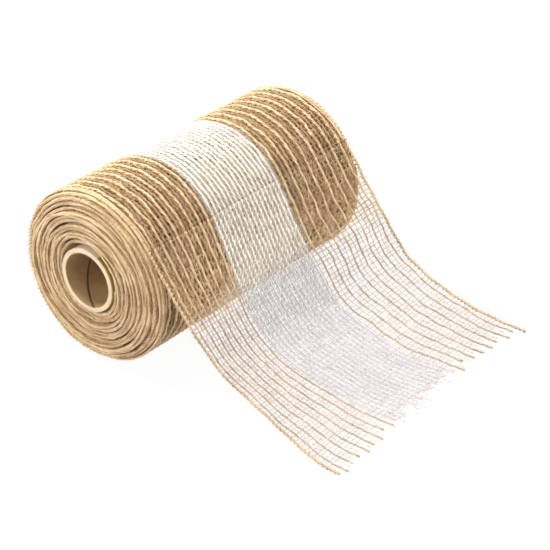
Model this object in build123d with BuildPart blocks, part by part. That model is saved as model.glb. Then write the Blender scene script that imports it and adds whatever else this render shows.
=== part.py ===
from build123d import *
import os
from math import acos, cos, degrees, radians, sin

# Woven jute ribbon wound on a paper tube core, lying on its side, with its free
# end over the top of the roll and down to the table. Millimetres.
# Origin: centre of the core's bore. +Y runs along the core, +Z is up and the
# free end points to +X.

# paper tube core, from the bore outwards
bore_diameter = 27.0
liner_thickness = 0.4
board_thickness = 1.7
wrap_thickness = 0.4

# strip of adhesive tape on the core that holds the ribbon's first lap
tape_thickness = 0.2
tape_end_margin = 0.3
tape_start_angle = -45.0
tape_arc = 90.0

# ribbon: selvedge, jute stripe, white stripe, jute stripe, selvedge
selvedge_width = 2.0
jute_stripe_width = 47.0
white_stripe_width = 51.0
weft_net_thickness = 0.4
yarn_size = 0.8
jute_yarn_count = 8
white_yarn_count = 17

# how far the core stands out past the ribbon at each end
core_near_proud = 0.6
core_far_proud = 1.0

# winding
wound_laps = 12
lap_pitch = 2.025
start_clearance = 0.1
turn_clearance = 0.3

# outermost lap, and the line where the free end leaves it
leave_angle = 36.0
leave_gap = 1.5
hidden_end_clearance = 0.5

# free end: straight off the roll, two bends up to level, then flat on the table
steep_bend_radius = 39.0
steep_bend_turn = 30.0
long_bend_radius = 112.0
level_run = 3.0
fringe_length = 8.0

# ribbon and core lengths along Y
ribbon_thickness = weft_net_thickness + yarn_size
ribbon_width = 2 * selvedge_width + 2 * jute_stripe_width + white_stripe_width
core_length = core_near_proud + ribbon_width + core_far_proud
tape_length = core_length - 2 * tape_end_margin

# core radii
bore_radius = bore_diameter / 2
liner_radius = bore_radius + liner_thickness
board_radius = liner_radius + board_thickness
core_radius = board_radius + wrap_thickness
tape_radius = core_radius + tape_thickness
core_far_y = core_length / 2

# winding radii: each half turn is an arc whose centre steps to the other side
centre_shift = lap_pitch / 4
first_lap_middle = tape_radius + start_clearance + ribbon_thickness / 2
first_lap_radius = first_lap_middle + centre_shift
half_turns = 2 * wound_laps
last_half_turn_radius = first_lap_radius + (half_turns - 1) * lap_pitch / 2
pack_radius = last_half_turn_radius + centre_shift + ribbon_thickness / 2
lap_inner_radius = pack_radius + turn_clearance
lap_outer_radius = lap_inner_radius + ribbon_thickness

# the lap's hidden end stops short of the free end that lies over it
hidden_end_radius = lap_outer_radius + hidden_end_clearance
lap_arc = 360 - degrees(acos(lap_inner_radius / hidden_end_radius))

# where each stripe starts along the core
near_selvedge_y = core_near_proud - core_length / 2
near_jute_y = near_selvedge_y + selvedge_width
white_y = near_jute_y + jute_stripe_width
far_jute_y = white_y + white_stripe_width
far_selvedge_y = far_jute_y + jute_stripe_width


def end_plane(y):
    """Upright plane across the core; an extrusion from it runs towards -Y."""
    return Plane.XZ.offset(-y)


def polar(radius, angle):
    return (radius * cos(radians(angle)), radius * sin(radians(angle)))


def flat(point):
    return (point.X, point.Y)


def finish(part, name):
    part.label = name
    export_step(part, f"parts/{name}.step")


def make_tube(name, inner_radius, outer_radius):
    with BuildPart() as tube:
        with BuildSketch(end_plane(core_far_y)):
            Circle(outer_radius)
            Circle(inner_radius, mode=Mode.SUBTRACT)
        extrude(amount=core_length)
    finish(tube.part, name)


def ring_sector(inner_radius, outer_radius, start_angle, arc):
    """Closed outline of part of a ring about the core's axis."""
    end_angle = start_angle + arc
    CenterArc((0, 0), outer_radius, start_angle, arc)
    Line(polar(outer_radius, end_angle), polar(inner_radius, end_angle))
    CenterArc((0, 0), inner_radius, start_angle, arc)
    Line(polar(inner_radius, start_angle), polar(outer_radius, start_angle))


def spiral_edge(side):
    """The wound ribbon's edge line, half a thickness to the given side of its middle."""
    for turn in range(half_turns):
        upper = turn % 2
        centre = (centre_shift if upper else -centre_shift, 0)
        radius = first_lap_radius + turn * lap_pitch / 2 + side * ribbon_thickness / 2
        CenterArc(centre, radius, 0 if upper else 180, 180)


def make_wound_stripe(name, start_y, width):
    start_x = first_lap_radius - centre_shift
    end_x = last_half_turn_radius + centre_shift
    half = ribbon_thickness / 2
    with BuildPart() as stripe:
        with BuildSketch(end_plane(start_y + width)):
            with BuildLine():
                spiral_edge(1)
                spiral_edge(-1)
                Line((start_x - half, 0), (start_x + half, 0))
                Line((end_x - half, 0), (end_x + half, 0))
            make_face()
        extrude(amount=width)
    finish(stripe.part, name)


def make_lap_stripe(name, start_y, width):
    with BuildPart() as stripe:
        with BuildSketch(end_plane(start_y + width)):
            with BuildLine():
                ring_sector(lap_inner_radius, lap_outer_radius, leave_angle, lap_arc)
            make_face()
        extrude(amount=width)
    finish(stripe.part, name)


# The free end's underside starts on the outermost lap's inner radius and leaves
# along its tangent. Its bends have their centres above it.
slope = leave_angle - 90
mid_slope_angle = leave_angle + steep_bend_turn
long_bend_turn = 90 - mid_slope_angle
down = Vector(cos(radians(slope)), sin(radians(slope)))
away = Vector(cos(radians(leave_angle)), sin(radians(leave_angle)))
mid_away = Vector(cos(radians(mid_slope_angle)), sin(radians(mid_slope_angle)))
steep_bend_drop = steep_bend_radius * (mid_away.Y - away.Y)
long_bend_drop = long_bend_radius * (1 - mid_away.Y)
leave_point = away * lap_inner_radius
run_drop = leave_point.Y + lap_outer_radius - steep_bend_drop - long_bend_drop
run_end = leave_point + down * (run_drop / -down.Y)
steep_centre = run_end + away * steep_bend_radius
long_centre = steep_centre + mid_away * (long_bend_radius - steep_bend_radius)


def free_end_line(rise, level_length):
    """Side view of the free end, a given rise above its underside."""
    level_y = long_centre.Y - long_bend_radius + rise
    start = leave_point + down * leave_gap + away * rise
    Line(flat(start), flat(run_end + away * rise))
    CenterArc(
        flat(steep_centre), steep_bend_radius - rise, 180 + leave_angle, steep_bend_turn
    )
    CenterArc(
        flat(long_centre), long_bend_radius - rise, 180 + mid_slope_angle, long_bend_turn
    )
    Line((long_centre.X, level_y), (long_centre.X + level_length, level_y))


def make_free_strip(name, start_y, width, bottom, top, level_length):
    """Strip of the free end between two rises above its underside."""
    end_x = long_centre.X + level_length
    floor_y = long_centre.Y - long_bend_radius
    start = leave_point + down * leave_gap
    with BuildPart() as strip:
        with BuildSketch(end_plane(start_y + width)):
            with BuildLine():
                free_end_line(bottom, level_length)
                free_end_line(top, level_length)
                Line(flat(start + away * bottom), flat(start + away * top))
                Line((end_x, floor_y + bottom), (end_x, floor_y + top))
            make_face()
        extrude(amount=width)
    finish(strip.part, name)


def make_free_yarns(prefix, stripe_y, stripe_width, count):
    """Warp yarns at even spacing, lying on the weft threads."""
    spacing = stripe_width / count
    for number in range(count):
        middle_y = stripe_y + (number + 0.5) * spacing
        make_free_strip(
            f"{prefix}_{number + 1}",
            middle_y - yarn_size / 2,
            yarn_size,
            weft_net_thickness,
            weft_net_thickness + yarn_size,
            yarn_level_run,
        )


os.makedirs("parts", exist_ok=True)

make_tube("core_liner_ply", bore_radius, liner_radius)
make_tube("core_board_tube", liner_radius, board_radius)
make_tube("core_wrap_ply", board_radius, core_radius)

with BuildPart() as start_tape:
    with BuildSketch(end_plane(tape_length / 2)):
        with BuildLine():
            ring_sector(core_radius, tape_radius, tape_start_angle, tape_arc)
        make_face()
    extrude(amount=tape_length)
finish(start_tape.part, "start_tape")

stripes = [
    ("near_selvedge", near_selvedge_y, selvedge_width),
    ("near_jute_band", near_jute_y, jute_stripe_width),
    ("white_band", white_y, white_stripe_width),
    ("far_jute_band", far_jute_y, jute_stripe_width),
    ("far_selvedge", far_selvedge_y, selvedge_width),
]
for stripe_name, stripe_y, stripe_width in stripes:
    make_wound_stripe(f"wound_{stripe_name}", stripe_y, stripe_width)
    make_lap_stripe(f"lap_{stripe_name}", stripe_y, stripe_width)

net_width = 2 * jute_stripe_width + white_stripe_width
yarn_level_run = level_run + fringe_length
make_free_strip("tail_weft_net", near_jute_y, net_width, 0, weft_net_thickness, level_run)
for stripe_name, stripe_y in (("near", near_selvedge_y), ("far", far_selvedge_y)):
    make_free_strip(
        f"tail_{stripe_name}_selvedge",
        stripe_y,
        selvedge_width,
        0,
        ribbon_thickness,
        yarn_level_run,
    )
make_free_yarns("tail_near_jute_yarn", near_jute_y, jute_stripe_width, jute_yarn_count)
make_free_yarns("tail_white_yarn", white_y, white_stripe_width, white_yarn_count)
make_free_yarns("tail_far_jute_yarn", far_jute_y, jute_stripe_width, jute_yarn_count)
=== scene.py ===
import math
import random

import bmesh
import bpy
import numpy as np
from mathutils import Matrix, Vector


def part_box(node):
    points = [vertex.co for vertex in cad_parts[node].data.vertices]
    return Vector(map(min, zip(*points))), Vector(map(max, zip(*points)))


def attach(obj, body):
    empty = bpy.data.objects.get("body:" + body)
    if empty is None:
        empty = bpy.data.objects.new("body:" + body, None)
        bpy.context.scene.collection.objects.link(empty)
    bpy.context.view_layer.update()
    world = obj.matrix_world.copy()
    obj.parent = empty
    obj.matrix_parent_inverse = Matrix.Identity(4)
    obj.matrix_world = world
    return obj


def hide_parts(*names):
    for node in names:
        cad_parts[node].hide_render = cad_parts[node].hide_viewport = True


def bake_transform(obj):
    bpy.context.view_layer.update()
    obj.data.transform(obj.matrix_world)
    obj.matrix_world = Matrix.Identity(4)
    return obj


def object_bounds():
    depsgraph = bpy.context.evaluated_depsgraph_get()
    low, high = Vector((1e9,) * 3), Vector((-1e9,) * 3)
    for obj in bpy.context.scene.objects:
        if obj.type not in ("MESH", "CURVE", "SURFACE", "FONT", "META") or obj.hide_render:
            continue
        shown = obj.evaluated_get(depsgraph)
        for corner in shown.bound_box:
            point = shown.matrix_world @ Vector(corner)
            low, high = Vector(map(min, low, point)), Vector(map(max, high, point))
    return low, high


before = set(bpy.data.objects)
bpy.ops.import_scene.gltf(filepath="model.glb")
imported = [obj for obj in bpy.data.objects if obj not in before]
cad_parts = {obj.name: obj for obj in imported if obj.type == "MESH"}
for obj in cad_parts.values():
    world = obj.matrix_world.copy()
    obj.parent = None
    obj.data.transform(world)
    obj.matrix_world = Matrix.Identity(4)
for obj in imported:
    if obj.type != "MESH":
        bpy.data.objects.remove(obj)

# Jute mesh ribbon wound on a paper tube core, its fringed free end down on the table.
# Metres, in the CAD model's frame: +Y along the core, +Z up, the free end towards +X.

mm = 0.001
turn = 2 * math.pi
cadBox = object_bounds()
floorZ = cadBox[0].z

# side view of the ribbon: off the roll, two bends up to level, then along the table
ribbon = dict(
    thickness=1.2 * mm, leaveAngle=36.0, steepRadius=39 * mm, steepTurn=30.0, longRadius=112 * mm,
    blendLength=9 * mm,              # along the free end
    lightShadePaintX=(53 * mm, 63 * mm),        # where the free end passes the roll's far side and its threads change to the painted shade and light copies of their colours
    clearOf=(15 * mm, 45 * mm),      # where its threads loosen, along the free end
    hiddenArc=343.0, cutNear=8 * mm, cutFar=0.5 * mm,
)
half = ribbon["thickness"] / 2
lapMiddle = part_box("lap_white_band")[1].z - half
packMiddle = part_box("wound_white_band")[1].x - half
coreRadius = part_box("core_wrap_ply")[1].z
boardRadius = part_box("core_board_tube")[1].z
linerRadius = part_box("core_liner_ply")[1].z
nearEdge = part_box("tail_near_selvedge")[0].y
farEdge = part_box("tail_far_selvedge")[1].y
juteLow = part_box("lap_near_jute_band")[0].y
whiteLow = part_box("lap_white_band")[0].y
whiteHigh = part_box("lap_white_band")[1].y
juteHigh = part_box("lap_far_jute_band")[1].y
ribbonWidth = farEdge - nearEdge

leave = math.radians(ribbon["leaveAngle"])
midTurn = leave + math.radians(ribbon["steepTurn"])
steepRadius = ribbon["steepRadius"] - half
longRadius = ribbon["longRadius"] - half
bendDrop = steepRadius * (math.sin(midTurn) - math.sin(leave)) + longRadius * (1 - math.sin(midTurn))
runLength = (lapMiddle * math.sin(leave) - floorZ - half - bendDrop) / math.cos(leave)
steepLength = steepRadius * (midTurn - leave)
longLength = longRadius * (math.pi / 2 - midTurn)
levelStart = runLength + steepLength + longLength
away = np.array((math.cos(leave), math.sin(leave)))
down = np.array((math.sin(leave), -math.cos(leave)))
runStart = away * lapMiddle
levelX = runStart[0] + down[0] * runLength
levelX += steepRadius * (math.cos(leave) - math.cos(midTurn)) + longRadius * math.cos(midTurn)
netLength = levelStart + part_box("tail_weft_net")[1].x - levelX
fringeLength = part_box("tail_white_yarn_1")[1].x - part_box("tail_weft_net")[1].x

# how the open mesh is pulled out of square: shifts of the near edge, the two sides of the
# white stripe and the far edge, each a steady one and a swell, some let go near the cut
drift = dict(
    near=dict(steady=4.6 * mm, swell=4.6 * mm, middle=80 * mm, reach=38 * mm, release=3 * mm),
    low=dict(steady=-0.5 * mm, swell=-7 * mm, middle=50 * mm, reach=38 * mm, release=0),
    high=dict(steady=-3.4 * mm, swell=-3.8 * mm, middle=42 * mm, reach=42 * mm, release=-3.4 * mm),
    far=dict(steady=0.3 * mm, swell=2.3 * mm, middle=85 * mm, reach=45 * mm, release=0),
)
releaseSpan = (105 * mm, 135 * mm)
liftedEdge = dict(height=2.4 * mm, middle=82 * mm, reach=26 * mm)   # of the near edge, off the table


def swell(s, middle, reach):
    return np.exp(-(((s - middle) / reach) ** 2))


def ease(s, start, end):
    t = np.clip((s - start) / (end - start), 0, 1)
    return t * t * (3 - 2 * t)


def shift(key, s):
    pull = drift[key]
    moved = pull["steady"] + pull["swell"] * swell(s, pull["middle"], pull["reach"])
    return moved - ease(s, *releaseSpan) * pull["release"]


def drifted(s, y):
    stations = (nearEdge, whiteLow, whiteHigh, farEdge)
    place = np.clip(y, nearEdge, farEdge)
    for key, share in zip(drift, np.eye(len(stations))):
        y = y + shift(key, s) * np.interp(place, stations, share)
    return y


# places on the ribbon: s along it from where it leaves the roll, y across, rise outwards
def onTail(s, y, rise):
    s, y = np.broadcast_arrays(np.asarray(s, float), y)
    bend = np.clip(s - runLength, 0, steepLength) / steepRadius
    sweep = np.clip(s - runLength - steepLength, 0, longLength) / longRadius
    level = np.clip(s - levelStart, 0, None)
    normal = leave + bend + sweep
    run = np.clip(s, 0, runLength)
    nearness = np.clip((whiteLow - y) / (whiteLow - nearEdge), 0, 1)
    raised = swell(s, liftedEdge["middle"], liftedEdge["reach"])
    rise = rise + liftedEdge["height"] * nearness ** 2 * raised
    x = runStart[0] + down[0] * run + steepRadius * (math.cos(leave) - np.cos(leave + bend))
    z = runStart[1] + down[1] * run + steepRadius * (math.sin(leave) - np.sin(leave + bend))
    x = x + longRadius * (math.cos(midTurn) - np.cos(midTurn + sweep)) + level
    z = z + longRadius * (math.sin(midTurn) - np.sin(midTurn + sweep))
    return np.stack([x + rise * np.cos(normal), drifted(s, y), z + rise * np.sin(normal)], -1)


# the outermost lap, s backwards around the roll
def onLap(s, y, rise):
    s, y = np.broadcast_arrays(np.asarray(s, float), y)
    angle = leave + s / lapMiddle
    radius = lapMiddle + rise
    return np.stack([radius * np.cos(angle), drifted(-s, y), radius * np.sin(angle)], -1)


pack = dict(
    laps=12, threadLaps=2, innerGap=0.9 * mm, stepPower=2.6, looseness=0.6 * mm, looseAngle=215.0,
    wobble=0.3 * mm, wobbleRates=(1.13, 0.37), wobbleStart=1.0,
    lapShift=(0.8 * mm, -0.7 * mm), shiftEase=10 * mm, startBack=1.2, sink=0.17 * mm,
    # how far the laps' edges lie back, at the roll's shoulder and beside the core
    shoulder=3.4 * mm, shoulderLaps=1.6, hollow=1.25 * mm, hollowLaps=2.0,
    # cords that show as the laps at both ends
    edgeRows=3, edgeStep=0.8 * mm, edgeInset=0.5 * mm, edgeSpread=0.27 * mm, edgeRadius=0.48 * mm,
    pointStep=1.6 * mm, meanRadius=30 * mm, taper=14 * mm, thinnest=0.05,
    lapRagged=0.85 * mm, lapRaggedWave=130 * mm, lapRise=0.3 * mm, lapRiseWave=55 * mm,
    edgeRagged=0.25 * mm, edgeRaggedWave=25 * mm, edgeWander=0.1 * mm, edgeWanderWave=13 * mm,
    thickVary=0.2, thickWave=6 * mm, cordLength=3.0,
    # fibres that stand out of them
    edgeFibres=5600, fibreDepth=(-0.4 * mm, 0.5 * mm), fibreReach=3.2 * mm, fibreLift=1.7 * mm,
    fibreBase=-0.8 * mm, fibreSpread=0.3,
)
lapPitch = (packMiddle - coreRadius - pack["innerGap"]) / pack["laps"]


# each lap keeps its radius and steps down near the end of the turn
def packRadius(angle):
    lap = np.clip(angle / turn, 0, None)
    whole = np.floor(lap)
    step = whole + (lap - whole) ** pack["stepPower"]
    deep = np.clip(lap / pack["laps"], 0, 1)
    loose = pack["looseness"] * deep ** 2 * (0.5 + 0.5 * np.cos(angle - math.radians(pack["looseAngle"])))
    quick, slow = pack["wobbleRates"]
    wobble = pack["wobble"] * np.sin(angle * quick + pack["wobbleStart"]) * np.sin(angle * slow)
    wobble = wobble * np.clip(lap - 1, 0, 1)
    return packMiddle - lapPitch * step + loose + wobble


def onPack(s, y, rise):
    s, y = np.broadcast_arrays(np.asarray(s, float), y)
    angle = s / packMiddle
    radius = packRadius(angle) + rise
    return np.stack([radius * np.cos(angle), y, radius * np.sin(angle)], -1)


# how far the wound laps' edges lie back at the roll's shoulder and beside the core
def lapInset(side, lap):
    hollow = pack["hollow"] * np.exp((lap - pack["laps"]) / pack["hollowLaps"])
    if side == "far":
        return -hollow
    return pack["shoulder"] * np.exp(-lap / pack["shoulderLaps"]) + hollow


waves = dict(count=3, shortest=0.6, spread=0.8, evenOut=1.8)


# a smooth random line: a few sine waves of about one wavelength
def wander(seed, along, wave, size):
    rng = random.Random(seed)
    total = 0
    for part in range(waves["count"]):
        length = wave * (waves["shortest"] + waves["spread"] * rng.random())
        total = total + np.sin(along * turn / length + turn * rng.random())
    return size * total / waves["evenOut"]


# a material's node tree, built up by short calls
class Tree:
    sheenRoughness = 0.6

    def __init__(self, name, roughness, sheen=0.0):
        self.material = bpy.data.materials.new(name)
        self.material.use_nodes = True
        self.nodes = self.material.node_tree.nodes
        self.links = self.material.node_tree.links
        self.shader = self.nodes["Principled BSDF"]
        self.shader.inputs["Roughness"].default_value = roughness
        self.shader.inputs["Sheen Weight"].default_value = sheen
        self.shader.inputs["Sheen Roughness"].default_value = self.sheenRoughness
        self.place = self.nodes.new("ShaderNodeTexCoord")

    def put(self, value, socket):
        if isinstance(value, (int, float)):
            socket.default_value = value
        else:
            self.links.new(value, socket)

    def calc(self, operation, *values):
        node = self.nodes.new("ShaderNodeMath")
        node.operation = operation
        for value, socket in zip(values, node.inputs):
            self.put(value, socket)
        return node.outputs[0]

    def split(self, output):
        node = self.nodes.new("ShaderNodeSeparateXYZ")
        self.links.new(self.place.outputs[output], node.inputs[0])
        return node.outputs

    def noise(self, scale, detail=3.0):
        node = self.nodes.new("ShaderNodeTexNoise")
        node.inputs["Scale"].default_value = scale
        node.inputs["Detail"].default_value = detail
        self.links.new(self.place.outputs["Object"], node.inputs["Vector"])
        return node.outputs["Fac"]

    def ramp(self, value, stops):
        node = self.nodes.new("ShaderNodeValToRGB")
        elements = node.color_ramp.elements
        while len(elements) < len(stops):
            elements.new(0.5)
        for element, (place, colour) in zip(elements, stops):
            element.position = place
            element.color = (*colour, 1)
        self.links.new(value, node.inputs[0])
        return node.outputs[0]

    def mix(self, share, a, b):
        node = self.nodes.new("ShaderNodeMix")
        node.data_type = "RGBA"
        self.put(share, node.inputs[0])
        self.put(a, node.inputs[6])
        self.put(b, node.inputs[7])
        return node.outputs[2]

    def bump(self, height, strength, distance):
        node = self.nodes.new("ShaderNodeBump")
        node.inputs["Strength"].default_value = strength
        node.inputs["Distance"].default_value = distance
        self.links.new(height, node.inputs["Height"])
        self.links.new(node.outputs[0], self.shader.inputs["Normal"])

    def attribute(self, name):
        node = self.nodes.new("ShaderNodeAttribute")
        node.attribute_name = name
        return node.outputs["Fac"]


# colour ramps, from the dark between the fibres to their lit tops
tan = [(0.25, (0.35, 0.17, 0.056)), (0.42, (0.60, 0.36, 0.155)),
       (0.6, (0.78, 0.53, 0.28)), (0.8, (0.90, 0.69, 0.44))]
fineTan = [(0.25, (0.21, 0.095, 0.03)), (0.45, (0.385, 0.215, 0.08)),
           (0.65, (0.555, 0.345, 0.155)), (0.8, (0.73, 0.505, 0.275))]
# a darker, greyer copy of tan for the free end's yarns: painted shade
looseTanPaintedShade = [(0.25, (0.15, 0.088, 0.038)), (0.45, (0.30, 0.20, 0.10)),
            (0.62, (0.43, 0.30, 0.165)), (0.8, (0.55, 0.405, 0.25))]
# a darker copy of tan for the free end's selvedge cords: painted shade
edgeTanPaintedShade = [(0.25, (0.22, 0.12, 0.04)), (0.45, (0.44, 0.27, 0.12)),
           (0.62, (0.58, 0.385, 0.19)), (0.8, (0.70, 0.51, 0.30))]
# a lighter, more golden copy of tan with deeper darks, for the cords at the laps' edges: painted light on the
# roll's end faces
rimTanPaintedLight = [(0.25, (0.27, 0.135, 0.045)), (0.42, (0.59, 0.355, 0.15)),
          (0.6, (0.85, 0.585, 0.30)), (0.8, (0.95, 0.745, 0.475))]
cream = [(0.25, (0.60, 0.49, 0.38)), (0.45, (0.75, 0.66, 0.55)), (0.7, (0.88, 0.81, 0.72))]
fineCream = [(0.25, (0.48, 0.38, 0.28)), (0.5, (0.63, 0.53, 0.42)), (0.75, (0.76, 0.68, 0.57))]
# a paler, pinker copy of the fine threads' tan for the free end over the bright floor: painted light through
# the thin threads
sheerPaintedLight = [(0.25, (0.50, 0.41, 0.37)), (0.5, (0.68, 0.58, 0.54)), (0.75, (0.82, 0.74, 0.70))]
# a paler copy of tan for the free end's loose fibres over the bright floor: painted light through them
hazePaintedLight = [(0.3, (0.66, 0.50, 0.38)), (0.7, (0.84, 0.70, 0.57))]
# a greyer copy of cream for the free end's white stripe, so it shows against the white floor: painted shade
sheerCreamPaintedShade = [(0.25, (0.59, 0.545, 0.55)), (0.5, (0.70, 0.65, 0.655)), (0.75, (0.80, 0.75, 0.755))]
# darker copies of tan and cream for the deeper laps: painted shade of their depth in the roll
deepTanPaintedShade = [(0.2, (0.08, 0.035, 0.01)), (0.5, (0.28, 0.15, 0.05)), (0.78, (0.54, 0.345, 0.15))]
deepCreamPaintedShade = [(0.2, (0.60, 0.48, 0.33)), (0.5, (0.74, 0.63, 0.48)), (0.78, (0.84, 0.76, 0.62))]

spun = dict(
    roughness=0.85, sheen=0.3, patchScale=130, fibreDetail=4,
    patchShare=0.55, fibreShare=0.35, plyShare=0.2, relief=0.6, fibreRelief=0.8,
)


# spun yarn: plies around the thread from its own map, blotches and fibres in its colour
def yarnMaterial(name, stops, twist, plies, byStripe=None, alpha=1.0, rolled=None, grain=(1800, 0.12 * mm)):
    tree = Tree(name, spun["roughness"], spun["sheen"])
    flat = tree.split("UV")
    around = tree.calc("MULTIPLY", flat[0], turn * plies)
    along = tree.calc("MULTIPLY", flat[1], turn * twist)
    ply = tree.calc("MULTIPLY_ADD", tree.calc("SINE", tree.calc("ADD", around, along)), 0.5, 0.5)
    fibreScale, reliefDepth = grain
    patches = tree.noise(spun["patchScale"])
    fibres = tree.noise(fibreScale, spun["fibreDetail"])
    level = tree.calc("MULTIPLY", patches, spun["patchShare"])
    level = tree.calc("MULTIPLY_ADD", fibres, spun["fibreShare"], level)
    # the plies' twist also moves the colour towards the ramp's lit end on their crests: painted shade in the
    # twist's grooves
    level = tree.calc("MULTIPLY_ADD", ply, spun["plyShare"], level)
    colour = tree.ramp(level, stops)
    if byStripe:
        colour = tree.mix(tree.attribute("white"), colour, tree.ramp(level, byStripe))
    if rolled:   # on the free end: the roll's colours up to where it hangs clear of the roll, beyond that the painted shade and light copies
        near = [tree.ramp(level, tones) for tones in rolled]
        lightShadePaint = tree.attribute("lightShadePaint")
        base = near[0] if len(near) == 1 else tree.mix(tree.attribute("white"), *near)
        colour = tree.mix(lightShadePaint, base, colour)
        tree.links.new(tree.calc("MULTIPLY_ADD", lightShadePaint, alpha - 1, 1.0), tree.shader.inputs["Alpha"])
    tree.links.new(colour, tree.shader.inputs["Base Color"])
    tree.bump(tree.calc("MULTIPLY_ADD", fibres, spun["fibreRelief"], ply), spun["relief"], reliefDepth)
    return tree.material


band = dict(
    roughness=0.9, sheen=0.3, warpPitch=2.95 * mm, fibreScale=1300, fibreDetail=4, weaveShare=0.2,
    fibreShare=0.85, relief=0.7, reliefDepth=0.3 * mm,
)


# the deeper laps: the weave as relief and colour on one strip; its colours are darker copies of the yarns',
# and darker between the weave's threads, for painted shade deep in the roll
def bandMaterial():
    tree = Tree("wound_weave_painted_shade", band["roughness"], band["sheen"])
    flat = tree.split("UV")
    across = tree.calc("SINE", tree.calc("MULTIPLY", flat[1], turn / band["warpPitch"]))
    along = tree.calc("SINE", tree.calc("MULTIPLY", flat[0], turn / weave["weftPitch"]))
    fibres = tree.noise(band["fibreScale"], band["fibreDetail"])
    level = tree.calc("MULTIPLY", tree.calc("MAXIMUM", across, along), band["weaveShare"])
    level = tree.calc("MULTIPLY_ADD", fibres, band["fibreShare"], level)
    colour = tree.mix(tree.attribute("white"), tree.ramp(level, deepTanPaintedShade), tree.ramp(level, deepCreamPaintedShade))
    tree.links.new(colour, tree.shader.inputs["Base Color"])
    tree.bump(level, band["relief"], band["reliefDepth"])
    return tree.material


paper = dict(
    fineScale=1400, fineDetail=5, patchScale=90, fineShare=0.35, patchShare=0.65,
    relief=0.5, reliefDepth=0.15 * mm,
)


def paperMaterial(name, stops, roughness=0.8, seam=None):
    tree = Tree(name, roughness)
    fine = tree.noise(paper["fineScale"], paper["fineDetail"])
    patches = tree.noise(paper["patchScale"])
    patchLevel = tree.calc("MULTIPLY", patches, paper["patchShare"])
    colour = tree.ramp(tree.calc("MULTIPLY_ADD", fine, paper["fineShare"], patchLevel), stops)
    height = fine
    if seam:
        spot = tree.split("Object")
        angle = tree.calc("MULTIPLY", tree.calc("ARCTAN2", spot[2], spot[0]), 1 / turn)
        helix = tree.calc("MULTIPLY_ADD", spot[1], 1 / seam["pitch"], angle)
        place = tree.calc("FRACT", tree.calc("ADD", helix, 0.5 - seam["middle"] / seam["pitch"]))
        line = tree.calc("LESS_THAN", place, seam["width"] / seam["pitch"])
        colour = tree.mix(line, colour, tree.ramp(fine, seam["stops"]))
        height = tree.calc("SUBTRACT", fine, line)
    tree.links.new(colour, tree.shader.inputs["Base Color"])
    tree.bump(height, paper["relief"], paper["reliefDepth"])
    return tree.material


weave = dict(
    juteYarns=8, juteRadius=0.4 * mm, juteRise=0.12 * mm, juteWander=0.4 * mm,
    whiteYarns=17, plyRadius=0.31 * mm, whiteWander=0.22 * mm, loosePlies=0.42 * mm,
    fineRadius=0.27 * mm, fineWander=0.3 * mm, fineRise=0.2 * mm,
    warpWave=17 * mm, freeShare=0.6, meetLength=14 * mm,
    thickVary=0.14, thickWave=9 * mm, rolledThick=dict(white=1.6, jute=1.5),
    rollPlyRadius=dict(white=0.5 * mm, jute=0.46 * mm), woundThin=0.82,
    plyOffset=dict(white=0.3 * mm, jute=0.3 * mm), plyPitch=dict(white=5.2 * mm, jute=7.5 * mm),
    plySteps=8, woundPlySteps=6, spinWave=40 * mm,
    weftPitch=2.35 * mm, weftRadius=0.26 * mm, weftRise=0.2 * mm, weftWander=0.4 * mm, weftWave=60 * mm,
    weftInset=0.5 * mm, rollWeftRadius=0.2 * mm, rolledWeft=0.75, weftDrop=0.18 * mm,
)
# sideways sway of each whole stripe on the free end
sway = dict(near_jute=0.4 * mm, white=0.3 * mm, far_jute=0.5 * mm)
swayPath = dict(wave=48 * mm, start=30 * mm, skew=0.3, seed=77)


# threads along the ribbon as (y, kind, number), in their order across it
def stripeWarps(stripe, low, high):
    count = weave["whiteYarns"] if stripe == "white" else weave["juteYarns"]
    pitch = (high - low) / count
    found = [(low + (n + 0.5) * pitch, stripe, n + 1) for n in range(count)]
    start = 0 if stripe == "far_jute" else 1
    stop = count + 1 if stripe == "near_jute" else count
    found += [(low + n * pitch, "fine", n) for n in range(start, stop)]
    return sorted(found)


warps = stripeWarps("near_jute", juteLow, whiteLow)
warps += stripeWarps("white", whiteLow, whiteHigh)
warps += stripeWarps("far_jute", whiteHigh, juteHigh)
warpY = np.array([w[0] for w in warps])

juteYarn = yarnMaterial("jute_yarn", tan, 330, 2)
looseJute = yarnMaterial("jute_yarn_free_end", looseTanPaintedShade, 330, 2, rolled=[tan])
edgeYarn = yarnMaterial("selvedge_yarn", edgeTanPaintedShade, 330, 2, rolled=[tan])
whiteYarn = yarnMaterial("white_yarn", cream, 500, 1)
fineThread = yarnMaterial("fine_thread", fineTan, 900, 1, byStripe=fineCream)
edgeRoll = yarnMaterial("lap_edge_yarn", rimTanPaintedLight, 420, 2, grain=(800, 0.3 * mm))
sheerThread = yarnMaterial("fine_thread_free_end", sheerPaintedLight, 900, 1, byStripe=sheerCreamPaintedShade, alpha=0.58,
                           rolled=[fineTan, fineCream])
sheerWhite = yarnMaterial("white_yarn_free_end", sheerCreamPaintedShade, 500, 1, alpha=0.7, rolled=[cream])
woundWeavePaintedShade = bandMaterial()
hairs = {
    "jute": yarnMaterial("jute_fibre", tan, 200, 1),
    "white": yarnMaterial("white_fibre", cream, 200, 1),
    "looseJute": yarnMaterial("jute_fibre_free_end", hazePaintedLight, 200, 1, alpha=0.6, rolled=[tan]),
    "looseWhite": yarnMaterial("white_fibre_free_end", sheerCreamPaintedShade, 200, 1, alpha=0.6, rolled=[cream]),
}


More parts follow.
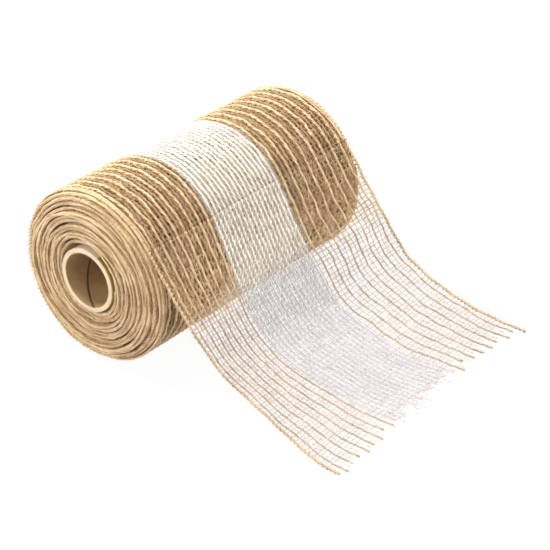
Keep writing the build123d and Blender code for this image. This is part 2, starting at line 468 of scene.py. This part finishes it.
# each point's attributes: 1 inside the white stripe, and 1 where the free end is clear of the roll, which
# switches its threads to the painted shade and light copies of their colours
def markPoints(mesh, body):
    spots = np.empty(len(mesh.vertices) * 3, np.float32)
    mesh.vertices.foreach_get("co", spots)
    x, y, z = spots.reshape(-1, 3).T
    low, high = whiteLow, whiteHigh
    if body != "roll":
        s = -((np.arctan2(z, x) - leave) % turn) * lapMiddle
        if body is None:
            line = np.linspace(0, netLength + 2 * fringeLength, 300)
            s = np.interp(x, onTail(line, 0, 0)[:, 0], line)
        low, high = low + shift("low", s), high + shift("high", s)
    values = {"white": (y > low) & (y < high), "lightShadePaint": ease(x, *ribbon["lightShadePaintX"])}
    for name in values if body is None else ["white"]:
        marks = mesh.attributes.new(name, "FLOAT", "POINT")
        marks.data.foreach_set("value", values[name].astype(np.float32))


def finishPiece(name, mesh, materials, body, slot, replaced=()):
    for material in materials:
        mesh.materials.append(material)
    mesh.shade_smooth()
    if not name.startswith(("core", "start")):
        markPoints(mesh, body)
    piece = bpy.data.objects.new(name, mesh)
    bpy.context.scene.collection.objects.link(piece)
    if body:
        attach(piece, body)
    if replaced:
        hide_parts(*replaced)
    return piece


# one bevelled curve of many lines, made a mesh; lines are (points, radius factors)
def tubes(lines, radius, sides):
    curve = bpy.data.curves.new("tubes", "CURVE")
    curve.dimensions = "3D"
    curve.bevel_depth = radius
    curve.bevel_resolution = (sides - 4) // 2
    curve.use_fill_caps = True
    for points, thick in lines:
        spline = curve.splines.new("POLY")
        spline.points.add(len(points) - 1)
        spline.points.foreach_set("co", np.column_stack([points, np.ones(len(points))]).ravel())
        if thick is not None:
            spline.points.foreach_set("radius", thick)
    holder = bpy.data.objects.new("tubes", curve)
    bpy.context.scene.collection.objects.link(holder)
    mesh = bpy.data.meshes.new_from_object(holder.evaluated_get(bpy.context.evaluated_depsgraph_get()))
    bpy.data.objects.remove(holder)
    bpy.data.curves.remove(curve)
    return mesh


# groups are (lines, radius, sides, length); each takes the next of the piece's materials
def threadMesh(name, groups):
    work = bmesh.new()
    for index, (lines, radius, sides, length) in enumerate(groups):
        mesh = tubes(lines, radius, sides)
        uv = mesh.uv_layers[0].data
        values = np.empty(len(uv) * 2, np.float32)
        uv.foreach_get("uv", values)
        values[1::2] *= length
        uv.foreach_set("uv", values)
        mesh.polygons.foreach_set("material_index", np.full(len(mesh.polygons), index, np.int32))
        work.from_mesh(mesh)
        bpy.data.meshes.remove(mesh)
    bmesh.ops.remove_doubles(work, verts=work.verts, dist=0.001 * mm)
    bmesh.ops.recalc_face_normals(work, faces=work.faces)
    made = bpy.data.meshes.new(name)
    work.to_mesh(made)
    work.free()
    return made


# the lines of one warp: a single thread, or two plies twisted together
def warpLines(place, index, start, end, seed, free=False, plySteps=weave["plySteps"]):
    y, kind, number = warps[index]
    twisted = kind == "white" or not (free or kind == "fine")
    tone = "white" if kind == "white" else "jute"
    step = weave["plyPitch"][tone] / plySteps if twisted else weave["weftPitch"] / 2
    count = max(2, int(round((end - start) / step)) + 1)
    s = np.linspace(start, end, count)
    size = weave["whiteWander" if tone == "white" else "fineWander" if kind == "fine" else "juteWander"]
    size = size * weave["freeShare"] if free else size
    line = y + wander(seed * 1000 + index, s, weave["warpWave"], size) * ease(s, 0, weave["meetLength"])
    if free:
        stripe = "white" if whiteLow < y < whiteHigh else "near_jute" if y < whiteLow else "far_jute"
        path = wander(swayPath["seed"], s + swayPath["skew"] * y, swayPath["wave"], 1.0)
        line = line + sway[stripe] * ease(s, 0, swayPath["start"]) * path
    thick = 1 + wander(seed * 7 + index, s, weave["thickWave"], weave["thickVary"])
    clear = ease(s, *ribbon["clearOf"]) if free else 0
    if free and kind != "fine":
        thick = thick * (weave["rolledThick"][tone] + (1 - weave["rolledThick"][tone]) * clear)
    if not twisted:
        rise = weave["fineRise" if kind == "fine" else "juteRise"]
        return [(place(s, line, rise * np.cos(math.pi * s / weave["weftPitch"] + math.pi * index)), thick)]
    spin = turn * s / weave["plyPitch"][tone] + wander(seed * 13 + index, s, weave["spinWave"], 1.0)
    offset = weave["plyOffset"][tone] + clear * (weave["loosePlies"] - weave["plyOffset"][tone])
    return [(place(s, line + offset * np.cos(spin + ply), offset * np.sin(spin + ply)), thick)
            for ply in (0, math.pi)]


# weft threads; reach gives how far along the ribbon the last one lies at each y
def weftLines(place, start, reach, seed, clearOf=None):
    edges = np.concatenate([[nearEdge + weave["weftInset"]], warpY, [farEdge - weave["weftInset"]]])
    lengths = reach(edges) - start
    count = int(lengths.mean() / weave["weftPitch"])
    lines = []
    for number in range(count):
        s = start + lengths * (number + 0.5) / count
        s = s + wander(seed * 31 + number, edges, weave["weftWave"], weave["weftWander"])
        s = np.clip(s, start + weave["weftRadius"], start + lengths - weave["weftRadius"])
        rise = weave["weftRise"] * np.cos(math.pi * (number + np.arange(len(edges))))
        clear = ease(s, *clearOf) if clearOf else 0
        thick = weave["rolledWeft"] + (1 - weave["rolledWeft"]) * clear if clearOf else None
        lines.append((place(s, edges, rise - (1 - clear) * weave["weftDrop"]), thick))
    return lines


selvedge = dict(
    inset=0.85 * mm, radius=0.5 * mm, step=0.5 * mm, wander=0.2 * mm, wave=20 * mm,
    thickVary=0.1, thickWave=8 * mm, loopRadius=0.3 * mm, loopReach=0.9 * mm, loopLift=0.5 * mm,
    loopPitch=2.35 * mm, loopVary=0.7, loopWave=15 * mm, loopThickVary=0.2, loopThickWave=5 * mm,
)


# a cord along the edge with the weft's loops around it
def selvedgeLines(place, start, end, edge, inward, seed):
    s = np.linspace(start, end, int((end - start) / selvedge["step"]) + 1)
    sideways = wander(seed, s, selvedge["wave"], selvedge["wander"]) * ease(s, 0, weave["meetLength"])
    y = edge + inward * selvedge["inset"] + sideways
    cord = (place(s, y, 0 * s), 1 + wander(seed + 1, s, selvedge["thickWave"], selvedge["thickVary"]))
    angle = turn * s / selvedge["loopPitch"] + wander(seed + 2, s, selvedge["loopWave"], selvedge["loopVary"])
    loops = place(s, y + selvedge["loopReach"] * np.cos(angle), selvedge["loopLift"] * np.sin(angle))
    thick = 1 + wander(seed + 3, s, selvedge["loopThickWave"], selvedge["loopThickVary"])
    return [cord, (loops, selvedge["loopRadius"] / selvedge["radius"] * thick)]


fuzz = dict(
    radius=0.045 * mm, sides=4, reach=5.5 * mm, lift=0.75 * mm, shortest=0.4, lowest=0.2,
    curl=0.35, arch=2.2, taper=(1.0, 0.85, 0.4),
    loose=3000, looseLift=0.5 * mm, looseRadius=0.08 * mm, looseEnd=2 * mm,
)


# loose fibres that lie along the ribbon; three points each, tapering
def fibreLines(place, count, sRange, yRange, seed, reach, lift, base=0.0, spread=1.0):
    rng = np.random.default_rng(seed)
    t = np.array((0, 0.5, 1.0))
    s = rng.uniform(*sRange, (count, 1))
    y = rng.uniform(*yRange, (count, 1))
    angle = rng.uniform(0, turn, (count, 1))
    long = reach * rng.uniform(fuzz["shortest"], 1.0, (count, 1))
    curl = rng.uniform(-fuzz["curl"], fuzz["curl"], (count, 1)) * long * t * t
    rise = base + lift * rng.uniform(fuzz["lowest"], 1.0, (count, 1)) * np.sin(t * fuzz["arch"])
    s = s + long * np.cos(angle) * t - curl * np.sin(angle)
    y = y + spread * (long * np.sin(angle) * t + curl * np.cos(angle))
    points = place(s, y, rise)
    return [(line, fuzz["taper"]) for line in points]


def fuzzPiece(name, lines, kind, body, slot):
    radius = fuzz["radius"] if body else fuzz["looseRadius"]
    mesh = threadMesh(name, [(lines, radius, fuzz["sides"], fuzz["reach"])])
    return finishPiece(name, mesh, [hairs[kind]], body, slot)


def blendTail(piece):
    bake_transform(piece)
    return piece


# the cut runs a little askew across the ribbon
def cutLine(y):
    return netLength + np.interp(y, (nearEdge, farEdge), (ribbon["cutNear"], ribbon["cutFar"]))


# how far each kind of thread stands out past the cut, in fringe lengths, and its fibres
fringe = dict(
    jute=(0.35, 1.05), white=(-0.1, 0.55), fine=(0.2, 1.1), corner=(1.3, 1.1), nearCord=0.7, farCord=1.7,
    hairs=18, hairReach=8 * mm, whiteHairs=10, whiteHairReach=5.5 * mm, fineHairs=5,
    hairRadius=0.08 * mm, hairLength=6 * mm, hairStart=(0.5, 9.0), hairSize=(0.4, 1.0),
    hairSide=(-0.45, 0.45), hairRise=(-0.25, 0.35), hairEndRise=0.2 * mm, taper=(1.0, 0.8, 0.4),
)


def makeTail():
    yarns, net, white, ends = [], [], [], []
    firstLong = weave["juteYarns"] - len(fringe["corner"])
    for index, (y, kind, number) in enumerate(warps):
        rng = random.Random(500 + index)
        low, high = fringe["jute" if "jute" in kind else kind]
        standOut = rng.uniform(low, high)
        if kind == "far_jute" and number > firstLong:   # long ends at the far corner
            standOut = fringe["corner"][number - firstLong - 1]
        end = float(cutLine(y)) + fringeLength * standOut
        lines = warpLines(onTail, index, 0, end, 3, free=True)
        ends.append((end, y, kind))
        if kind == "fine":
            net += [(points, thick * weave["fineRadius"] / weave["weftRadius"]) for points, thick in lines]
        elif kind == "white":
            white += lines
        else:
            node = f"tail_{kind}_yarn_{number}"
            mesh = threadMesh(node + "_spun", [(lines, weave["juteRadius"], 8, end)])
            yarns.append(blendTail(finishPiece(mesh.name, mesh, [looseJute], None, "jute_yarn", (node,))))
    net += weftLines(onTail, 0, cutLine, 5, clearOf=ribbon["clearOf"])
    edges = []
    for edge, inward, extra in ((nearEdge, 1, fringe["nearCord"]), (farEdge, -1, fringe["farCord"])):
        end = float(cutLine(edge)) + extra * fringeLength
        edges += selvedgeLines(onTail, 0, end, edge, inward, 40 + inward)
    groups = [(net, weave["weftRadius"], 6, netLength), (white, weave["plyRadius"], 6, netLength),
              (edges, selvedge["radius"], 8, netLength)]
    whiteNodes = [f"tail_white_yarn_{n + 1}" for n in range(weave["whiteYarns"])]
    replaced = ["tail_weft_net", "tail_near_selvedge", "tail_far_selvedge"] + whiteNodes
    mesh = threadMesh("tail_net", groups)
    materials = [sheerThread, sheerWhite, edgeYarn]
    piece = blendTail(finishPiece("tail_net", mesh, materials, None, "weft_thread", replaced))
    yarns += makeFringe(ends)
    for stripe, low, high, kind in (("near_jute", nearEdge, whiteLow, "looseJute"),
                                    ("white", whiteLow, whiteHigh, "looseWhite"),
                                    ("far_jute", whiteHigh, farEdge, "looseJute")):
        lines = fibreLines(onTail, fuzz["loose"], (0, netLength - fuzz["looseEnd"]), (low, high),
                           61 + len(yarns), fuzz["reach"], fuzz["looseLift"])
        slot = "white_yarn" if stripe == "white" else "jute_yarn"
        yarns.append(blendTail(fuzzPiece(f"tail_{stripe}_fibres", lines, kind, None, slot)))
    print("free end", len(yarns), "pieces on the net", len(mesh.polygons), "faces")


# each cut thread opens into a few fibres that lie on the table
def makeFringe(ends):
    lines = {"jute": [], "white": []}
    for index, (end, y, kind) in enumerate(ends):
        tone = "white" if kind == "white" else "jute"
        count = fringe[{"white": "whiteHairs", "fine": "fineHairs"}.get(kind, "hairs")]
        reach = fringe["whiteHairReach" if tone == "white" else "hairReach"]
        rng = np.random.default_rng(800 + index)
        t = np.array((0, 0.5, 1.0))
        for hair in range(count):
            start = end - rng.uniform(*fringe["hairStart"]) * mm
            long = reach * rng.uniform(*fringe["hairSize"])
            side = rng.uniform(*fringe["hairSide"]) * long
            rise = rng.uniform(*fringe["hairRise"]) * mm
            points = onTail(start + long * t, y + side * t * t, rise + fringe["hairEndRise"] * t)
            lines[tone].append((points, fringe["taper"]))
    made = []
    for tone, kind in (("jute", "looseJute"), ("white", "looseWhite")):
        group = (lines[tone], fringe["hairRadius"], fuzz["sides"], fringe["hairLength"])
        mesh = threadMesh(f"fringe_{tone}_fibres", [group])
        made.append(blendTail(finishPiece(mesh.name, mesh, [hairs[kind]], None, f"{tone}_yarn")))
    return made


# one lap's threads; a wound lap's yarns are thinner and have fewer points
def makeLapThreads(prefix, place, length, body, seed, sides, replaced):
    wound = body == "roll"
    plySteps = weave["woundPlySteps" if wound else "plySteps"]
    groups = {"near_jute": [], "white": [], "far_jute": [], "fine": []}
    for index, (y, kind, number) in enumerate(warps):
        groups[kind] += warpLines(place, index, 0, length, seed, plySteps=plySteps)
    for key in ("near_jute", "white", "far_jute"):
        radius = weave["rollPlyRadius"]["white" if key == "white" else "jute"]
        if wound:
            radius = radius * weave["woundThin"]
        mesh = threadMesh(f"{prefix}_{key}_yarns", [(groups[key], radius, sides, length)])
        material, slot = (whiteYarn, "white_yarn") if key == "white" else (juteYarn, "jute_yarn")
        finishPiece(mesh.name, mesh, [material], body, slot, replaced.get(key, ()))
    mesh = threadMesh(f"{prefix}_fine_warps", [(groups["fine"], weave["fineRadius"], 4, length)])
    finishPiece(mesh.name, mesh, [fineThread], body, "weft_thread")
    wefts = weftLines(place, 0, lambda y: length + 0 * y, seed)
    mesh = threadMesh(f"{prefix}_wefts", [(wefts, weave["rollWeftRadius"], 4, ribbonWidth)])
    finishPiece(mesh.name, mesh, [fineThread], body, "weft_thread")


outerLap = dict(
    edgeCords=3, cordRadius=0.45 * mm, cordInset=0.5 * mm, cordStep=0.9 * mm, cordPoints=260,
    cordWander=0.25 * mm, cordWave=30 * mm, thickVary=0.12, thickWave=7 * mm,
    juteFibres=2800, whiteFibres=900, whiteReach=4 * mm, whiteLift=0.5 * mm,
)


def makeOuterLap():
    bands = {key: (f"lap_{key}_band",) for key in ("near_jute", "white", "far_jute")}
    length = math.radians(ribbon["hiddenArc"]) * lapMiddle
    makeLapThreads("outer_lap", onLap, length, "outer_lap", 11, 6, bands)
    for side, edge, inward in (("near", nearEdge, 1), ("far", farEdge, -1)):
        lines = selvedgeLines(onLap, 0, length, edge, inward, 50 + inward)
        for cord in range(outerLap["edgeCords"]):
            s = np.linspace(0, length, outerLap["cordPoints"])
            y = edge + inward * (outerLap["cordInset"] + cord * outerLap["cordStep"])
            y = y + wander(60 + cord, s, outerLap["cordWave"], outerLap["cordWander"])
            thick = 1 + wander(64 + cord, s, outerLap["thickWave"], outerLap["thickVary"])
            lines.append((onLap(s, y, 0 * s), thick))
        mesh = threadMesh(f"outer_lap_{side}_edge", [(lines, outerLap["cordRadius"], 6, length)])
        finishPiece(mesh.name, mesh, [edgeRoll], "outer_lap", "jute_yarn", (f"lap_{side}_selvedge",))
    lines = []
    for low, high, seed in ((nearEdge, whiteLow, 63), (whiteHigh, farEdge, 64)):
        lines += fibreLines(onLap, outerLap["juteFibres"], (0, length), (low, high), seed,
                            fuzz["reach"], fuzz["lift"])
    fuzzPiece("outer_lap_jute_fibres", lines, "jute", "outer_lap", "jute_yarn")
    lines = fibreLines(onLap, outerLap["whiteFibres"], (0, length), (whiteLow, whiteHigh), 65,
                       outerLap["whiteReach"], outerLap["whiteLift"])
    fuzzPiece("outer_lap_white_fibres", lines, "white", "outer_lap", "white_yarn")
    print("outer lap")


# the deeper laps are one woven strip, rolled up
strip = dict(rounds=90, across=8, thickness=0.9 * mm, edgeGap=2.2 * mm)


def makeStrip():
    first, last = turn * pack["threadLaps"], turn * pack["laps"]
    work = bmesh.new()
    steps = int(strip["rounds"] * (last - first) / turn)
    bmesh.ops.create_grid(work, x_segments=steps, y_segments=strip["across"], size=0.5, calc_uvs=True)
    mesh = bpy.data.meshes.new("wound_strip")
    work.to_mesh(mesh)
    work.free()
    if not mesh.uv_layers:
        mesh.uv_layers.new()
    flat = np.empty(len(mesh.vertices) * 3)
    mesh.vertices.foreach_get("co", flat)
    flat = flat.reshape(-1, 3)
    width = ribbonWidth - 2 * strip["edgeGap"]
    angle = first + (flat[:, 0] + 0.5) * (last - first)
    y = nearEdge + strip["edgeGap"] + (flat[:, 1] + 0.5) * width
    mesh.vertices.foreach_set("co", onPack(angle * packMiddle, y, 0).ravel())
    length = float((packRadius(first) + packRadius(last)) / 2 * (last - first))
    corner = np.empty(len(mesh.loops), np.int32)
    mesh.loops.foreach_get("vertex_index", corner)
    uv = np.column_stack([(flat[corner, 0] + 0.5) * length, (flat[corner, 1] + 0.5) * width])
    mesh.uv_layers[0].data.foreach_set("uv", uv.astype(np.float32).ravel())
    bands = [f"wound_{stripe}_band" for stripe in ("near_jute", "white", "far_jute")]
    piece = finishPiece("wound_strip", mesh, [woundWeavePaintedShade], "roll", "jute_yarn", bands)
    thick = piece.modifiers.new("thickness", "SOLIDIFY")
    thick.thickness = strip["thickness"]
    thick.offset = 0


def makePack():
    for lap in range(pack["threadLaps"]):
        first = turn * packMiddle * lap if lap else -pack["startBack"] * packMiddle

        def place(s, y, rise, lap=lap, first=first):
            inner = np.clip((y - nearEdge) * (farEdge - y) / (pack["shiftEase"] * ribbonWidth), 0, 1)
            return onPack(s + first, y + pack["lapShift"][lap] * inner, rise - pack["sink"])
        length = turn * packMiddle * (lap + 1) - first
        makeLapThreads(f"wound_lap_{lap + 1}", place, length, "roll", 20 + lap, 4, {})
    makeStrip()
    makeLapEdges()
    print("wound pack")


# cords that show as the laps at both ends
def makeLapEdges():
    last = turn * pack["laps"]
    start = -pack["startBack"]
    angles = np.arange(start, last, pack["pointStep"] / pack["meanRadius"])
    along = angles * pack["meanRadius"]
    taper = np.clip((angles - start) * packMiddle / pack["taper"] + pack["thinnest"], 0, 1)
    for side, edge, inward in (("near", nearEdge, 1), ("far", farEdge, -1)):
        lines = []
        lapSway = wander(170 + inward, along, pack["lapRaggedWave"], pack["lapRagged"])
        lapRise = wander(180 + inward, along, pack["lapRiseWave"], pack["lapRise"])
        for row in range(pack["edgeRows"]):
            for spread in (-1, 1):
                seed = 70 + 10 * row + spread + 3 * inward
                inset = pack["edgeInset"] + row * pack["edgeStep"]
                y = edge + inward * inset + lapInset(side, angles / turn)
                y = y + lapSway + wander(seed, along, pack["edgeRaggedWave"], pack["edgeRagged"])
                rise = spread * pack["edgeSpread"] + lapRise
                rise = rise + wander(seed + 1, along, pack["edgeWanderWave"], pack["edgeWander"])
                thick = 1 + wander(seed + 2, along, pack["thickWave"], pack["thickVary"])
                lines.append((onPack(angles * packMiddle, y, rise), thick * taper))
        mesh = threadMesh(f"wound_{side}_edge_cords", [(lines, pack["edgeRadius"], 6, pack["cordLength"])])
        finishPiece(mesh.name, mesh, [edgeRoll], "roll", "jute_yarn", (f"wound_{side}_selvedge",))
        makeEndFibres(side, edge, inward, last)


# fibres that stand out of the laps' edges
def makeEndFibres(side, edge, inward, last):
    def place(s, y, rise):
        return onPack(s, edge + lapInset(side, s / packMiddle / turn) + inward * y, rise)
    span = (0, last * packMiddle)
    lines = fibreLines(place, pack["edgeFibres"], span, pack["fibreDepth"], 90 + inward,
                       pack["fibreReach"], pack["fibreLift"], pack["fibreBase"], pack["fibreSpread"])
    fuzzPiece(f"wound_{side}_edge_fibres", lines, "jute", "roll", "jute_yarn")


core = dict(
    segments=128, softEdge=0.14 * mm, linerWall=0.4 * mm, linerRoughness=0.7,
    seamPitch=57 * mm, seamMiddle=16 * mm, seamWidth=1.3 * mm,
    tapeOver=0.2, tapeEdge=0.04 * mm, tapeRoughness=0.35,
    board=[(0.3, (0.50, 0.38, 0.25)), (0.6, (0.66, 0.52, 0.36))],
    wrap=[(0.3, (0.49, 0.385, 0.27)), (0.6, (0.63, 0.52, 0.39))],
    liner=[(0.3, (0.25, 0.135, 0.052)), (0.6, (0.39, 0.24, 0.11))],
    seam=[(0.3, (0.07, 0.035, 0.012)), (0.7, (0.13, 0.07, 0.03))],
    tape=[(0.3, (0.20, 0.15, 0.02)), (0.6, (0.34, 0.27, 0.05))],
)


# a ring's section spun about the core's axis
def spunRing(name, low, high, inner, outer, start, arc, softEdge):
    work = bmesh.new()
    corners = [(inner, low), (outer, low), (outer, high), (inner, high)]
    ring = [work.verts.new((r * math.cos(start), y, r * math.sin(start))) for r, y in corners]
    for index in range(len(ring)):
        work.edges.new((ring[index - 1], ring[index]))
    bmesh.ops.bevel(work, geom=ring, offset=softEdge, affect="VERTICES", segments=3, profile=0.5,
                    material=-1)
    whole = arc >= turn
    steps = int(core["segments"] * arc / turn)
    bmesh.ops.spin(work, geom=work.verts[:] + work.edges[:], cent=(0, 0, 0), axis=(0, -1, 0), dvec=(0, 0, 0),
                   angle=arc, steps=steps, use_merge=whole)
    if not whole:
        bmesh.ops.holes_fill(work, edges=[e for e in work.edges if e.is_boundary], sides=0)
    bmesh.ops.remove_doubles(work, verts=work.verts, dist=0.001 * mm)
    bmesh.ops.recalc_face_normals(work, faces=work.faces)
    mesh = bpy.data.meshes.new(name)
    work.to_mesh(mesh)
    work.free()
    return mesh


def makeCore():
    low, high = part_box("core_board_tube")
    seam = dict(pitch=core["seamPitch"], middle=low.y + core["seamMiddle"], width=core["seamWidth"],
                stops=core["seam"])
    liner = paperMaterial("liner_paper", core["liner"], core["linerRoughness"], seam)
    board = paperMaterial("board_paper", core["board"])
    wrap = paperMaterial("wrap_paper", core["wrap"])
    plies = [
        ("core_liner", "core_liner_ply", linerRadius - core["linerWall"], linerRadius, liner),
        ("core_board", "core_board_tube", linerRadius, boardRadius, board),
        ("core_wrap", "core_wrap_ply", boardRadius, coreRadius, wrap),
    ]
    for name, node, inner, outer, material in plies:
        slot = {"core_liner": "core_liner_paper", "core_wrap": "core_wrap_paper"}.get(name, "core_board")
        mesh = spunRing(name, low.y, high.y, inner, outer, 0, turn, core["softEdge"])
        finishPiece(name, mesh, [material], "roll", slot, (node,))
    low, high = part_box("start_tape")
    outer = high.x
    arc = 2 * math.asin(high.z / outer) + core["tapeOver"]
    start = core["tapeOver"] - arc / 2
    mesh = spunRing("start_tape_film", low.y, high.y, coreRadius, outer, start, arc, core["tapeEdge"])
    film = paperMaterial("tape_film", core["tape"], core["tapeRoughness"])
    finishPiece("start_tape_film", mesh, [film], "roll", "start_tape", ("start_tape",))
    print("core")


light = dict(
    world=(1.0, 0.99, 0.97), worldStrength=0.58, floor=0.03, floorGlow=0.95, floorSize=4,
    key=dict(place=(-0.35, 0.05, 1.1), size=0.7, power=30.0),
    fill=dict(place=(-0.1, -1.2, 0.45), size=0.9, power=12.0),
)


def makeStudio():
    tree = Tree("studio_floor", 0.9)
    tone = light["floor"]
    tree.shader.inputs["Base Color"].default_value = (tone, tone, tone, 1)
    tree.shader.inputs["Emission Color"].default_value = (1, 1, 1, 1)
    tree.shader.inputs["Emission Strength"].default_value = light["floorGlow"]
    work = bmesh.new()
    bmesh.ops.create_grid(work, x_segments=1, y_segments=1, size=light["floorSize"])
    bmesh.ops.translate(work, verts=work.verts, vec=(0, 0, floorZ))
    mesh = bpy.data.meshes.new("studio_floor")
    work.to_mesh(mesh)
    work.free()
    floor = bpy.data.objects.new("studio_floor", mesh)
    mesh.materials.append(tree.material)
    bpy.context.scene.collection.objects.link(floor)
    world = bpy.data.worlds.new("studio")
    bpy.context.scene.world = world
    world.use_nodes = True
    background = world.node_tree.nodes["Background"]
    background.inputs[0].default_value = (*light["world"], 1)
    background.inputs[1].default_value = light["worldStrength"]
    for name in ("key", "fill"):
        lamp = bpy.data.lights.new(name, "AREA")
        lamp.energy = light[name]["power"]
        lamp.size = light[name]["size"]
        holder = bpy.data.objects.new(name, lamp)
        holder.location = light[name]["place"]
        holder.rotation_euler = (Vector((0, 0, 0)) - holder.location).to_track_quat("-Z", "Y").to_euler()
        bpy.context.scene.collection.objects.link(holder)
    bpy.context.scene.view_settings.view_transform = "Standard"
    print("studio")


view = dict(aim=(0.0267, 0.0283, -0.0349), azimuth=39.5, elevation=31.0, distance=0.866, lens=113.1)


def makeCamera():
    azimuth, elevation = math.radians(view["azimuth"]), math.radians(view["elevation"])
    level = math.cos(elevation)
    towards = Vector((math.sin(azimuth) * level, -math.cos(azimuth) * level, math.sin(elevation)))
    data = bpy.data.cameras.new("camera")
    data.lens = view["lens"]
    data.sensor_width = 36
    camera = bpy.data.objects.new("camera", data)
    camera.location = Vector(view["aim"]) + towards * view["distance"]
    camera.rotation_euler = (-towards).to_track_quat("-Z", "Y").to_euler()
    bpy.context.scene.collection.objects.link(camera)
    bpy.context.scene.camera = camera


makeCamera()
makeStudio()
makeCore()
makePack()
makeOuterLap()
makeTail()
